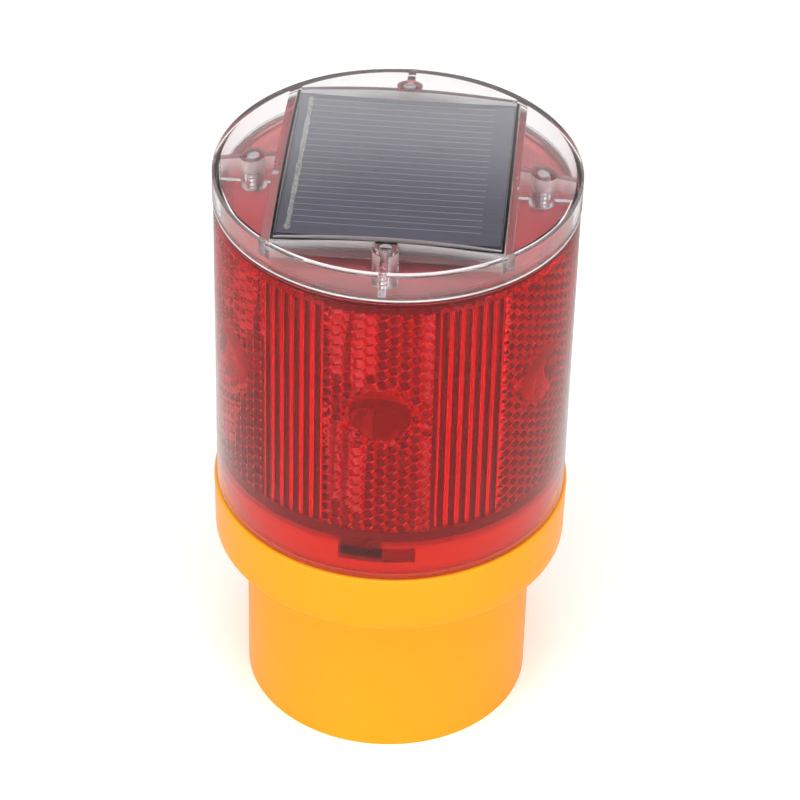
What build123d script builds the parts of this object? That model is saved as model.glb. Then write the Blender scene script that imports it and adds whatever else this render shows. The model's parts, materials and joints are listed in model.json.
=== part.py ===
from build123d import *
from math import acos, degrees, radians, sin
import os

os.makedirs("parts", exist_ok=True)

# Solar barricade warning light. Millimetres, +Z up, front towards -Y.
# The origin is the centre of the foot rim, on the surface that the lamp stands on.
# Angles are azimuths about Z, counted counter-clockwise from +X, so the front is at -90.

FRONT = -90.0

# ---------------------------------------------------------------- driving sizes
# Base housing
tube_dia = 69.8
tube_wall = 2.6
tube_height = 44.6
flange_step = 0.7
flange_height = 15.1
flange_draft = 0.2
flange_edge_radius = 0.7
floor_thickness = 2.5
collar_wall = 2.2
collar_height = 9.7
collar_lead_in = 0.8
core_groove_width = 1.5
core_groove_roof = 2.6
floor_rib_height = 2.4
floor_rib_thickness = 1.6
floor_rib_count = 6
stop_ring_height = 3.1
stop_ring_width = 2.4

# Red lens
lens_dia = 84.6
lens_wall = 2.4
lens_height = 80.5
lens_top_thickness = 2.2
lens_top_recess = 0.8
window_count = 6
window_angle = 34.0
window_relief = 0.6
bullseye_dia = 14.0
bullseye_bulge = 1.5
bullseye_height = 47.1
reed_count = 6
reed_pitch_angle = 3.8
pattern_gap = 0.6
pattern_top_margin = 2.0

# Bayonet between lens and collar
lug_count = 3
lug_angle = 10.4
lug_height = 3.9
lug_depth = 1.9
lug_offset_angle = 7.2
lug_rise = 4.5
entry_play_angle = 4.1
lug_play = 0.3
stop_play_angle = 0.5
twist_angle = 14.5

# Clear cover
cover_step = 0.2
cover_height = 7.4
cover_dome = 4.0
cover_plate = 1.6
cover_wall = 1.8
cover_edge_chamfer = 0.5
cell_side_wall = 2.6
cell_end_wall = 1.6
cell_frame_depth = 3.4
cell_ledge = 0.6
cover_boss_dia = 6.0
cover_boss_inset = 9.2
cover_rib = 1.8

# Solar panel: a silicon cell on a dark board, with a bare strip of board at the front
cell_width = 50.0
cell_depth = 57.2
cell_thickness = 0.4
cell_front_margin = 2.0
cell_board_thickness = 1.6
ribbon_width = 1.5
ribbon_thickness = 0.15
ribbon_inset = 2.4
ribbon_end_gap = 1.3
cell_play = 0.2

# Inner frame
tray_thickness = 2.6
tray_gap = 0.9
leg_dia = 7.0
leg_neck_dia = 5.0
leg_spread = 12.7
driver_hole_dia = 8.4
pedestal_wall = 0.85
wire_channel = 5.0
clip_wall = 1.2
clip_width = 4.0
clip_spread = 14.0
clip_mouth_angle = 100.0

# Electronics
board_dia = 48.0
board_thickness = 1.6
board_drop = 5.3
led_dia = 5.0
led_flange_dia = 5.8
led_flange_thickness = 1.0
led_length = 8.7
led_start_radius = 22.4
led_lead_pitch = 2.54
led_lead_width = 0.5
led_lead_run = 3.0

# Small parts on the LED board: spots are (x, y) on the board
chip_spot = (0.0, -1.5)
chip_length = 9.8
chip_width = 6.4
chip_height = 3.3
chip_standoff = 0.6
chip_pitch = 2.54
inductor_spot = (9.5, 3.0)
inductor_dia = 8.0
inductor_height = 7.0
inductor_lip = 1.2
capacitor_spot = (-9.5, 3.0)
capacitor_dia = 6.3
capacitor_height = 9.0
capacitor_edge_radius = 0.5
resistor_spot = (0.0, -15.0)
resistor_count = 3
resistor_pitch = 3.2
resistor_dia = 2.3
resistor_length = 6.3
resistor_span = 9.2

# Battery and switch
battery_dia = 14.3
battery_length = 50.5
battery_nub_dia = 5.5
battery_nub_length = 1.5
battery_play = 0.3
battery_edge_chamfer = 0.6
contact_thickness = 0.5
contact_width = 9.0
contact_height = 11.0
contact_wall = 1.6
contact_tab_width = 3.0
contact_tab_length = 3.4
spring_length = 3.6
spring_leaf_radius = 4.6
spring_leaf_width = 6.0
spring_free_angle = 62.0
switch_size = 7.2
switch_height = 8.0
switch_play = 0.05
switch_rise = 5.7
switch_pin = 0.8
switch_pin_length = 2.4
switch_roof = 1.0
button_dia = 10.4
button_hole_play = 0.8
button_proud = 3.0
button_travel = 2.0
button_stem_dia = 3.0
button_stem_play = 0.1
button_edge_radius = 1.2
dam_wall = 1.5
dam_height = 3.2

# Fasteners, seals and leads
screw_dia = 2.8
screw_head_dia = 5.4
screw_head_height = 1.8
screw_hole_play = 0.3
snug_play = 0.05
cover_screw_length = 10.0
frame_screw_length = 12.0
washer_dia = 7.6
washer_thickness = 0.4
seal_width = 1.0
seal_depth = 0.7
base_seal_width = 1.1
base_seal_height = 1.2
lead_dia = 1.4
lead_play = 0.4
lead_bend_radius = 5.0
lead_hole_dia = 9.0
solar_lead_x = 2.2
battery_lead_x = 30.2
switch_lead_x = 1.4

# Fits
body_gap = 0.4
seat_gap = 0.1
edge_gap = 0.3

# ---------------------------------------------------------------- heights and radii that follow
tube_radius = tube_dia / 2
bore_radius = tube_radius - tube_wall
socket_top_z = tube_height - stop_ring_height
seam_z = tube_height + flange_height
floor_z = tube_height + floor_thickness

lens_radius = lens_dia / 2
flange_radius = lens_radius + flange_step
lens_inner = lens_radius - lens_wall
lens_bottom_z = seam_z + seat_gap
joint_z = seam_z + lens_height
plate_top_z = joint_z - lens_top_recess
plate_bottom_z = plate_top_z - lens_top_thickness
pattern_high_z = plate_bottom_z - pattern_top_margin
bullseye_z = seam_z + bullseye_height
reed_radius = lens_inner * sin(radians(reed_pitch_angle / 2)) + snug_play

collar_radius = lens_inner - body_gap
collar_inner = collar_radius - collar_wall
collar_top_z = seam_z + collar_height
lug_low_z = seam_z + lug_rise
lug_high_z = lug_low_z + lug_height

cover_radius = lens_radius + cover_step
cover_boss_radius = lens_radius - cover_boss_inset
rim_z = joint_z + cover_height
top_z = rim_z + cover_dome
cover_under_z = rim_z - cover_plate
skirt_inner = cover_radius - cover_wall
frame_low_z = cover_under_z - cell_frame_depth
panel_half_x = cell_width / 2 + edge_gap
panel_half_y = (cell_depth + cell_front_margin + edge_gap) / 2
cell_y = panel_half_y - edge_gap - cell_depth / 2
ribbon_low_z = cover_under_z - ribbon_thickness
cell_low_z = ribbon_low_z - cell_thickness
cell_board_low_z = cell_low_z - cell_board_thickness

tray_low_z = collar_top_z + tray_gap
tray_top_z = tray_low_z + tray_thickness
pattern_low_z = tray_top_z + pattern_gap
board_top_z = bullseye_z - board_drop + board_thickness
board_low_z = bullseye_z - board_drop

button_radius = button_dia / 2
button_low_z = tube_height - button_proud
switch_low_z = floor_z + switch_rise
switch_high_z = switch_low_z + switch_height
button_cap_z = switch_low_z - button_travel - edge_gap
button_hole_radius = button_radius + button_hole_play
dam_top_z = floor_z + dam_height

pocket_size = switch_size + 2 * switch_play
pedestal_size = pocket_size + 2 * pedestal_wall
battery_radius = battery_dia / 2
battery_offset = pedestal_size / 2 + battery_play + battery_radius
battery_z = tray_low_z - battery_play - battery_radius
bay_half = (battery_length + spring_length) / 2 + contact_thickness
battery_start_x = -bay_half + contact_thickness + spring_length
spring_root = spring_leaf_radius - spring_length + snug_play - contact_thickness / 2
spring_root_angle = degrees(acos(spring_root / spring_leaf_radius))


def radial(azimuth):
    """The level direction that points outwards at an azimuth."""
    return Vector(1, 0, 0).rotate(Axis.Z, azimuth)


def ring_sector(inner, outer, middle, width):
    """Add one sector of a ring to the sketch, centred on an azimuth."""
    start = middle - width / 2
    with BuildSketch() as sector:
        with BuildLine():
            CenterArc((0, 0), outer, start, width)
            CenterArc((0, 0), inner, start, width)
            for azimuth in (start, start + width):
                Line(radial(azimuth) * inner, radial(azimuth) * outer)
        make_face()
    add(sector.sketch)


def finish(piece, name, colour):
    """Name a finished piece and write it to its own file."""
    piece.part.label = name
    piece.part.color = Color(*colour)
    export_step(piece.part, f"parts/{name}.step")


YELLOW = (1.0, 0.62, 0.05)
RED = (0.75, 0.05, 0.06)
CLEAR = (0.85, 0.9, 0.92)
WHITE = (0.9, 0.9, 0.88)
BLACK = (0.05, 0.05, 0.05)
GREEN = (0.05, 0.3, 0.15)
NAVY = (0.08, 0.1, 0.2)
STEEL = (0.7, 0.7, 0.72)

# ---------------------------------------------------------------- base housing
# Socket tube, floor, flange drum and bayonet collar are one moulding. A ring at the top of
# the socket stops the cone or post before it reaches the button.
with BuildPart() as base_housing:
    with BuildSketch(Plane.XZ):
        with BuildLine():
            Polyline(
                (bore_radius, 0),
                (tube_radius, 0),
                (tube_radius, tube_height),
                (flange_radius - flange_draft, tube_height),
                (flange_radius, seam_z),
                (collar_radius, seam_z),
                (collar_radius, collar_top_z - collar_lead_in),
                (collar_radius - collar_lead_in, collar_top_z),
                (collar_inner, collar_top_z),
                (collar_inner, floor_z),
                (button_hole_radius + dam_wall, floor_z),
                (button_hole_radius + dam_wall, dam_top_z),
                (button_hole_radius, dam_top_z),
                (button_hole_radius, tube_height),
                (bore_radius - stop_ring_width, tube_height),
                (bore_radius - stop_ring_width, socket_top_z),
                (bore_radius, socket_top_z),
                close=True,
            )
        make_face()
    revolve(axis=Axis.Z)

    # Rounded lower edge of the drum, and a small round where the tube meets it.
    lower_rims = base_housing.edges().filter_by(
        lambda e: e.geom_type == GeomType.CIRCLE
        and abs(e.center().Z - tube_height) < 0.01
        and abs(e.radius - (flange_radius - flange_draft)) < 0.01
    )
    fillet(lower_rims, flange_edge_radius)

    # The drum is thick where it carries the collar, so a groove cores it from below.
    groove_middle = (collar_radius + flange_radius) / 2 - flange_draft
    with BuildSketch(Plane.XY.offset(tube_height)):
        Circle(groove_middle + core_groove_width / 2)
        Circle(groove_middle - core_groove_width / 2, mode=Mode.SUBTRACT)
    extrude(amount=flange_height - core_groove_roof, mode=Mode.SUBTRACT)

    # Low ribs on the floor run from the water dam to the drum wall.
    with BuildSketch(Plane.XY.offset(floor_z)):
        rib_start = button_hole_radius + dam_wall / 2
        rib_length = collar_inner + collar_wall / 2 - rib_start
        with PolarLocations(rib_start + rib_length / 2, floor_rib_count, start_angle=FRONT + 30):
            Rectangle(rib_length, floor_rib_thickness)
    extrude(amount=floor_rib_height)

    # Three L-shaped slots: the lug drops in at the entry and turns along the channel.
    lug_middle = FRONT + lug_offset_angle
    entry_width = lug_angle + entry_play_angle
    entry_low = lug_middle - lug_angle / 2 - twist_angle - stop_play_angle
    entry_middle = entry_low + entry_width / 2
    channel_high = lug_middle + lug_angle / 2 + stop_play_angle
    channel_width = channel_high - entry_low
    channel_middle = (channel_high + entry_low) / 2
    slot_inner = collar_inner - 1
    slot_outer = collar_radius + 1
    channel_low_z = lug_low_z - lug_play
    channel_high_z = lug_high_z + lug_play
    for turn in range(lug_count):
        spread = turn * 360 / lug_count
        with BuildSketch(Plane.XY.offset(channel_low_z)):
            ring_sector(slot_inner, slot_outer, channel_middle + spread, channel_width)
        extrude(amount=channel_high_z - channel_low_z, mode=Mode.SUBTRACT)
        with BuildSketch(Plane.XY.offset(channel_low_z)):
            ring_sector(slot_inner, slot_outer, entry_middle + spread, entry_width)
        extrude(amount=collar_top_z - channel_low_z + 1, mode=Mode.SUBTRACT)
finish(base_housing, "base_housing", YELLOW)

# A silicone ring at the foot of the collar keeps rain out of the seam.
with BuildPart() as base_seal:
    with BuildSketch(Plane.XY.offset(seam_z)):
        Circle(collar_radius + base_seal_width)
        Circle(collar_radius + snug_play, mode=Mode.SUBTRACT)
    extrude(amount=base_seal_height)
finish(base_seal, "base_seal", YELLOW)

# ---------------------------------------------------------------- red lens
# One plano-convex bullseye on +X, bulging from the lens wall towards the middle.
with BuildPart() as bullseye:
    with BuildSketch(Plane.XZ):
        outer_x = lens_inner + lens_wall / 2
        inner_x = lens_inner - window_relief
        with BuildLine():
            Polyline(
                (inner_x - bullseye_bulge, bullseye_z),
                (outer_x, bullseye_z),
                (outer_x, bullseye_z + bullseye_dia / 2),
                (inner_x, bullseye_z + bullseye_dia / 2),
            )
            TangentArc(
                (inner_x - bullseye_bulge, bullseye_z),
                (inner_x, bullseye_z + bullseye_dia / 2),
                tangent=(0, 1),
            )
        make_face()
    revolve(axis=Axis((0, 0, bullseye_z), (1, 0, 0)))

with BuildPart() as lens_shell:
    seal_inner = skirt_inner + snug_play
    seal_outer = seal_inner + seal_width
    rebate_radius = collar_radius + base_seal_width + body_gap
    rebate_top_z = seam_z + base_seal_height + edge_gap
    with BuildSketch(Plane.XZ):
        with BuildLine():
            Polyline(
                (0, plate_bottom_z),
                (lens_inner, plate_bottom_z),
                (lens_inner, rebate_top_z),
                (rebate_radius, rebate_top_z),
                (rebate_radius, lens_bottom_z),
                (lens_radius, lens_bottom_z),
                (lens_radius, joint_z),
                (seal_outer, joint_z),
                (seal_outer, joint_z - seal_depth),
                (seal_inner, joint_z - seal_depth),
                (seal_inner, joint_z),
                (lens_inner, joint_z),
                (lens_inner, plate_top_z),
                (0, plate_top_z),
                close=True,
            )
        make_face()
    revolve(axis=Axis.Z)

    # Reflector windows stand proud of the wall on the inside, each with its bullseye.
    pattern_height = pattern_high_z - pattern_low_z
    wall_bite = lens_wall / 3
    with BuildSketch(Plane.XY.offset(pattern_low_z)):
        for turn in range(window_count):
            azimuth = FRONT + turn * 360 / window_count
            ring_sector(lens_inner - window_relief, lens_inner + wall_bite, azimuth, window_angle)
    extrude(amount=pattern_height)
    with PolarLocations(0, window_count, start_angle=FRONT):
        add(bullseye.part)

    # Reeded panels fill the spaces between the windows with upright half-round reeds.
    with BuildSketch(Plane.XY.offset(pattern_low_z)):
        for turn in range(window_count):
            panel_middle = FRONT + (turn + 0.5) * 360 / window_count
            panel_start = panel_middle - reed_pitch_angle * (reed_count - 1) / 2
            for reed in range(reed_count):
                spot = radial(panel_start + reed * reed_pitch_angle) * lens_inner
                with Locations((spot.X, spot.Y)):
                    Circle(reed_radius)
    extrude(amount=pattern_height)

    # Bayonet lugs on the plain band.
    with BuildSketch(Plane.XY.offset(lug_low_z)):
        for turn in range(lug_count):
            azimuth = FRONT + lug_offset_angle + turn * 360 / lug_count
            ring_sector(lens_inner - lug_depth, lens_inner + wall_bite, azimuth, lug_angle)
    extrude(amount=lug_height)

    # Holes in the top: cover screws, frame screws, and the solar leads in the middle.
    with BuildSketch(Plane.XY.offset(plate_bottom_z)):
        with PolarLocations(cover_boss_radius, 4, start_angle=FRONT):
            Circle(screw_dia / 2 + screw_hole_play)
        with GridLocations(2 * leg_spread, 2 * leg_spread, 2, 2):
            Circle(screw_dia / 2 + screw_hole_play)
        Circle(lead_hole_dia / 2)
    extrude(amount=lens_top_thickness, mode=Mode.SUBTRACT)
finish(lens_shell, "lens_shell", RED)

# ---------------------------------------------------------------- clear cover
# The room under the middle of the domed top. The inner walls are drawn tall and trimmed to it.
with BuildPart() as cover_core:
    core_radius = skirt_inner + cover_wall / 2
    core_top_z = top_z - cover_plate / 2
    core_rim_z = rim_z - cover_plate / 2
    with BuildSketch(Plane.XZ):
        with BuildLine():
            Polyline(
                (0, core_top_z),
                (0, plate_top_z),
                (core_radius, plate_top_z),
                (core_radius, core_rim_z),
            )
            TangentArc((0, core_top_z), (core_radius, core_rim_z), tangent=(1, 0))
        make_face()
    revolve(axis=Axis.Z)

with BuildPart() as cover_frame:
    # Walls that box in the panel. The side walls run out to the skirt.
    with BuildSketch(Plane.XY.offset(frame_low_z)):
        Rectangle(2 * (panel_half_x + cell_side_wall), 2 * core_radius)
        Rectangle(2 * panel_half_x, 2 * core_radius, mode=Mode.SUBTRACT)
        with GridLocations(1, 2 * panel_half_y + cell_end_wall, 1, 2):
            Rectangle(2 * panel_half_x + cell_side_wall, cell_end_wall)
    extrude(amount=top_z - frame_low_z)

    # Ribs tie the frame and the bosses to the skirt.
    with BuildSketch(Plane.XY.offset(joint_z + edge_gap)):
        for azimuth in (0, 90, 180, 270):
            rib_start = panel_half_y + cell_end_wall / 2
            if azimuth in (0, 180):
                rib_start = panel_half_x + cell_side_wall / 2
            ribs_at = radial(azimuth) * (rib_start + core_radius) / 2
            with Locations(Location((ribs_at.X, ribs_at.Y, 0), (0, 0, azimuth))):
                Rectangle(core_radius - rib_start, cover_rib)
    extrude(amount=top_z - joint_z - edge_gap)

    # Screw bosses stand on the lens's top plate.
    with BuildSketch(Plane.XY.offset(plate_top_z)):
        with PolarLocations(cover_boss_radius, 4, start_angle=FRONT):
            Circle(cover_boss_dia / 2)
    extrude(amount=top_z - plate_top_z)

    # The panel's board fits between the walls and seats under a ledge round its edge.
    with BuildSketch(Plane.XY.offset(plate_top_z)):
        pocket_play = cell_ledge + cell_play
        Rectangle(2 * (panel_half_x + pocket_play), 2 * (panel_half_y + pocket_play))
    extrude(amount=cell_low_z - plate_top_z, mode=Mode.SUBTRACT)
    add(cover_core.part, mode=Mode.INTERSECT)

with BuildPart() as clear_cover:
    with BuildSketch(Plane.XZ):
        with BuildLine():
            Polyline(
                (skirt_inner, cover_under_z),
                (skirt_inner, joint_z),
                (cover_radius, joint_z),
                (cover_radius, rim_z),
            )
            Line((0, top_z), (0, top_z - cover_plate))
            TangentArc((0, top_z), (cover_radius, rim_z), tangent=(1, 0))
            TangentArc((0, top_z - cover_plate), (skirt_inner, cover_under_z), tangent=(1, 0))
        make_face()
    revolve(axis=Axis.Z)
    top_rim = clear_cover.edges().filter_by(
        lambda e: e.geom_type == GeomType.CIRCLE and abs(e.center().Z - rim_z) < 0.01
    )
    chamfer(top_rim, cover_edge_chamfer)
    add(cover_frame.part)
    pilot_depth = cover_screw_length - lens_top_thickness + snug_play
    with BuildSketch(Plane.XY.offset(plate_top_z)):
        with PolarLocations(cover_boss_radius, 4, start_angle=FRONT):
            Circle(screw_dia / 2 + snug_play)
    extrude(amount=pilot_depth, mode=Mode.SUBTRACT)
finish(clear_cover, "clear_cover", CLEAR)

# The seal lies in a groove of the lens rim, under the skirt.
with BuildPart() as cover_seal:
    with BuildSketch(Plane.XY.offset(joint_z - seal_depth)):
        Circle(seal_outer - snug_play)
        Circle(seal_inner + snug_play, mode=Mode.SUBTRACT)
    extrude(amount=seal_depth)
finish(cover_seal, "cover_seal", WHITE)


def pan_screw(length):
    """Add one flat-ended pan-head screw, its head under z = 0 and its shank above."""
    with BuildSketch() as shank:
        Circle(screw_dia / 2)
    extrude(shank.sketch, amount=length)
    with BuildSketch() as head:
        Circle(screw_head_dia / 2)
    extrude(head.sketch, amount=-screw_head_height)


# One screw of each length, made at the origin and copied to its holes.
with BuildPart() as cover_screw:
    pan_screw(cover_screw_length)

with BuildPart() as frame_screw:
    pan_screw(frame_screw_length)

with BuildPart() as cover_screws:
    with Locations((0, 0, plate_bottom_z)):
        with PolarLocations(cover_boss_radius, 4, start_angle=FRONT):
            add(cover_screw.part)
finish(cover_screws, "cover_screws", STEEL)

with BuildPart() as frame_screws:
    with Locations(Location((0, 0, plate_top_z), (180, 0, 0))):
        with GridLocations(2 * leg_spread, 2 * leg_spread, 2, 2):
            add(frame_screw.part)
finish(frame_screws, "frame_screws", STEEL)

# ---------------------------------------------------------------- solar panel
with BuildPart() as solar_cell:
    with BuildSketch(Plane.XY.offset(cell_low_z)):
        with Locations((0, cell_y)):
            Rectangle(cell_width, cell_depth)
    extrude(amount=cell_thickness)
finish(solar_cell, "solar_cell", NAVY)

with BuildPart() as cell_ribbon:
    with BuildSketch(Plane.XY.offset(ribbon_low_z)):
        with Locations((ribbon_inset - cell_width / 2, cell_y)):
            Rectangle(ribbon_width, cell_depth - 2 * ribbon_end_gap)
    extrude(amount=ribbon_thickness)
finish(cell_ribbon, "cell_ribbon", STEEL)

with BuildPart() as cell_board:
    with BuildSketch(Plane.XY.offset(cell_board_low_z)):
        Rectangle(2 * (panel_half_x + cell_ledge), 2 * (panel_half_y + cell_ledge))
    extrude(amount=cell_board_thickness)
finish(cell_board, "cell_board", BLACK)

# ---------------------------------------------------------------- inner frame
# Tray, legs, battery bay and switch pedestal are one dark moulding inside the head.
with BuildPart() as inner_frame:
    with BuildSketch(Plane.XY.offset(tray_low_z)):
        Circle(lens_inner - body_gap)
    extrude(amount=tray_thickness)

    # Legs with a shoulder under the LED board and a neck up to the lens's top plate.
    with BuildSketch(Plane.XY.offset(tray_low_z)):
        with GridLocations(2 * leg_spread, 2 * leg_spread, 2, 2):
            Circle(leg_dia / 2)
    extrude(amount=board_low_z - tray_low_z)
    with BuildSketch(Plane.XY.offset(board_low_z)):
        with GridLocations(2 * leg_spread, 2 * leg_spread, 2, 2):
            Circle(leg_neck_dia / 2)
    extrude(amount=plate_bottom_z - board_low_z)
    frame_pilot_depth = frame_screw_length - lens_top_thickness + edge_gap
    with BuildSketch(Plane.XY.offset(plate_bottom_z - frame_pilot_depth)):
        with GridLocations(2 * leg_spread, 2 * leg_spread, 2, 2):
            Circle(screw_dia / 2 + snug_play)
    extrude(amount=frame_pilot_depth, mode=Mode.SUBTRACT)

    # Square pedestal that holds the switch over the middle of the socket roof.
    with BuildSketch(Plane.XY.offset(switch_low_z)):
        Rectangle(pedestal_size, pedestal_size)
    extrude(amount=tray_low_z - switch_low_z)
    with BuildSketch(Plane.XY.offset(switch_low_z)):
        Rectangle(pocket_size, pocket_size)
    extrude(amount=switch_height, mode=Mode.SUBTRACT)
    with BuildSketch(Plane.XY.offset(switch_high_z)):
        Rectangle(wire_channel, wire_channel)
    extrude(amount=tray_top_z - switch_high_z, mode=Mode.SUBTRACT)

    # Two walls close the ends of the battery bay. Each has a slit for a contact tab.
    contact_low_z = tray_low_z - edge_gap - contact_height
    contact_middle_z = tray_low_z - edge_gap - contact_height / 2
    with BuildSketch(Plane.XY.offset(contact_low_z - edge_gap)):
        with Locations((0, battery_offset)):
            with GridLocations(2 * bay_half + contact_wall, 1, 2, 1):
                Rectangle(contact_wall, contact_width + 2 * contact_wall)
    extrude(amount=tray_low_z - contact_low_z + edge_gap)
    slit_height = contact_thickness + 2 * edge_gap
    with BuildSketch(Plane.XY.offset(contact_middle_z - slit_height / 2)):
        with Locations((0, battery_offset)):
            Rectangle(2 * (bay_half + contact_wall), contact_tab_width + 2 * edge_gap)
    extrude(amount=slit_height, mode=Mode.SUBTRACT)

    # Two spring clips reach round the battery from the tray.
    clip_inner = battery_radius + battery_play
    clip_outer = clip_inner + clip_wall
    for side in (-1, 1):
        clip_plane = Plane(
            origin=(side * clip_spread - clip_width / 2, battery_offset, battery_z),
            x_dir=(0, 1, 0),
            z_dir=(1, 0, 0),
        )
        with BuildSketch(clip_plane):
            ring_sector(clip_inner, clip_outer, 90, 360 - clip_mouth_angle)
        extrude(amount=clip_width)

    # Openings in the tray: a driver reaches the cover screws, and the battery leads pass.
    with BuildSketch(Plane.XY.offset(tray_low_z)):
        with PolarLocations(cover_boss_radius, 4, start_angle=FRONT):
            Circle(driver_hole_dia / 2)
        with Locations((battery_lead_x, battery_offset), (-battery_lead_x, battery_offset)):
            Circle(lead_dia / 2 + lead_play)
    extrude(amount=tray_thickness, mode=Mode.SUBTRACT)
finish(inner_frame, "inner_frame", BLACK)

# ---------------------------------------------------------------- LED board
with BuildPart() as led_board:
    with BuildSketch(Plane.XY.offset(board_low_z)):
        Circle(board_dia / 2)
        with GridLocations(2 * leg_spread, 2 * leg_spread, 2, 2):
            Circle(leg_neck_dia / 2 + snug_play, mode=Mode.SUBTRACT)
    extrude(amount=board_thickness)
finish(led_board, "led_board", GREEN)

# Push-on washers keep the board on its four shoulders.
with BuildPart() as board_washers:
    with BuildSketch(Plane.XY.offset(board_top_z)):
        with GridLocations(2 * leg_spread, 2 * leg_spread, 2, 2):
            Circle(washer_dia / 2)
            Circle(leg_neck_dia / 2 + snug_play, mode=Mode.SUBTRACT)
    extrude(amount=washer_thickness)
finish(board_washers, "board_washers", STEEL)

# One LED lies along +X, level with the bullseyes. Its two leads bend down to the board.
with BuildPart() as led:
    led_radius = led_dia / 2
    dome_start = led_start_radius + led_length - led_radius
    with BuildSketch(Plane.XZ):
        with BuildLine():
            Polyline(
                (dome_start + led_radius, bullseye_z),
                (led_start_radius, bullseye_z),
                (led_start_radius, bullseye_z + led_flange_dia / 2),
                (led_start_radius + led_flange_thickness, bullseye_z + led_flange_dia / 2),
                (led_start_radius + led_flange_thickness, bullseye_z + led_radius),
                (dome_start, bullseye_z + led_radius),
            )
            TangentArc(
                (dome_start, bullseye_z + led_radius),
                (dome_start + led_radius, bullseye_z),
                tangent=(1, 0),
            )
        make_face()
    revolve(axis=Axis((0, 0, bullseye_z), (1, 0, 0)))
    lead_half = led_lead_width / 2
    with BuildSketch(Plane.XY.offset(bullseye_z - lead_half)):
        with Locations((led_start_radius - led_lead_run / 2, 0)):
            with GridLocations(1, led_lead_pitch, 1, 2):
                Rectangle(led_lead_run, led_lead_width)
    extrude(amount=led_lead_width)
    with BuildSketch(Plane.XY.offset(board_top_z)):
        with Locations((led_start_radius - led_lead_run + lead_half, 0)):
            with GridLocations(1, led_lead_pitch, 1, 2):
                Rectangle(led_lead_width, led_lead_width)
    extrude(amount=bullseye_z - board_top_z)

with BuildPart() as leds:
    with PolarLocations(0, window_count, start_angle=FRONT):
        add(led.part)
finish(leds, "leds", RED)

with BuildPart() as driver_ic:
    with BuildSketch(Plane.XY.offset(board_top_z + chip_standoff)):
        with Locations(chip_spot):
            Rectangle(chip_length, chip_width)
    extrude(amount=chip_height)
    chamfer(driver_ic.faces().sort_by(Axis.Z)[-1].edges(), chip_standoff / 2)
    with BuildSketch(Plane.XY.offset(board_top_z)):
        with Locations(chip_spot):
            with GridLocations(chip_pitch, chip_width, 4, 2):
                Rectangle(led_lead_width, led_lead_width)
    extrude(amount=chip_standoff + chip_height / 2)
finish(driver_ic, "driver_ic", BLACK)

with BuildPart() as inductor:
    with BuildSketch(Plane.XZ.offset(-inductor_spot[1])):
        rim = inductor_dia / 2
        waist = rim - inductor_lip
        with BuildLine():
            Polyline(
                (inductor_spot[0], board_top_z),
                (inductor_spot[0] + rim, board_top_z),
                (inductor_spot[0] + rim, board_top_z + inductor_lip),
                (inductor_spot[0] + waist, board_top_z + inductor_lip),
                (inductor_spot[0] + waist, board_top_z + inductor_height - inductor_lip),
                (inductor_spot[0] + rim, board_top_z + inductor_height - inductor_lip),
                (inductor_spot[0] + rim, board_top_z + inductor_height),
                (inductor_spot[0], board_top_z + inductor_height),
                close=True,
            )
        make_face()
    revolve(axis=Axis((inductor_spot[0], inductor_spot[1], 0), (0, 0, 1)))
finish(inductor, "inductor", BLACK)

with BuildPart() as capacitor:
    with BuildSketch(Plane.XY.offset(board_top_z)):
        with Locations(capacitor_spot):
            Circle(capacitor_dia / 2)
    extrude(amount=capacitor_height)
    fillet(capacitor.faces().sort_by(Axis.Z)[-1].edges(), capacitor_edge_radius)
finish(capacitor, "capacitor", NAVY)

# Three axial resistors lie in a row on bent leads.
with BuildPart() as resistors:
    resistor_axis_z = board_top_z + resistor_dia / 2
    for place in range(resistor_count):
        spot_y = resistor_spot[1] + place * resistor_pitch
        with BuildSketch(Plane.YZ.offset(resistor_spot[0] - resistor_length / 2)):
            with Locations((spot_y, resistor_axis_z)):
                Circle(resistor_dia / 2)
        extrude(amount=resistor_length)
    with BuildSketch(Plane.XY.offset(board_top_z)):
        with Locations((resistor_spot[0], resistor_spot[1] + (resistor_count - 1) * resistor_pitch / 2)):
            with GridLocations(resistor_span, resistor_pitch, 2, resistor_count):
                Rectangle(led_lead_width, led_lead_width)
    extrude(amount=resistor_dia / 2 + led_lead_width / 2)
    with BuildSketch(Plane.XY.offset(resistor_axis_z - led_lead_width / 2)):
        with Locations((resistor_spot[0], resistor_spot[1] + (resistor_count - 1) * resistor_pitch / 2)):
            with GridLocations(1, resistor_pitch, 1, resistor_count):
                Rectangle(resistor_span, led_lead_width)
    extrude(amount=led_lead_width)
finish(resistors, "resistors", WHITE)

# ---------------------------------------------------------------- battery
with BuildPart() as battery_cell:
    with BuildSketch(Plane.YZ.offset(battery_start_x)):
        with Locations((battery_offset, battery_z)):
            Circle(battery_radius)
    extrude(amount=battery_length - battery_nub_length)
    chamfer(battery_cell.edges().filter_by(GeomType.CIRCLE), battery_edge_chamfer)
    with BuildSketch(Plane.YZ.offset(battery_start_x + battery_length - battery_nub_length)):
        with Locations((battery_offset, battery_z)):
            Circle(battery_nub_dia / 2)
    extrude(amount=battery_nub_length)
finish(battery_cell, "battery_cell", GREEN)


def contact_plate(side):
    """Add a contact plate against one end wall, with its tab through the slit."""
    with BuildSketch(Plane.XY.offset(contact_low_z)) as plate:
        with Locations((side * (bay_half - contact_thickness / 2), battery_offset)):
            Rectangle(contact_thickness, contact_width)
    extrude(plate.sketch, amount=contact_height)
    with BuildSketch(Plane.XY.offset(contact_middle_z - contact_thickness / 2)) as tab:
        with Locations((side * (bay_half + contact_tab_length / 2), battery_offset)):
            Rectangle(contact_tab_length, contact_tab_width)
    extrude(tab.sketch, amount=contact_thickness)


with BuildPart() as positive_contact:
    contact_plate(1)
finish(positive_contact, "positive_contact", STEEL)

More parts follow.
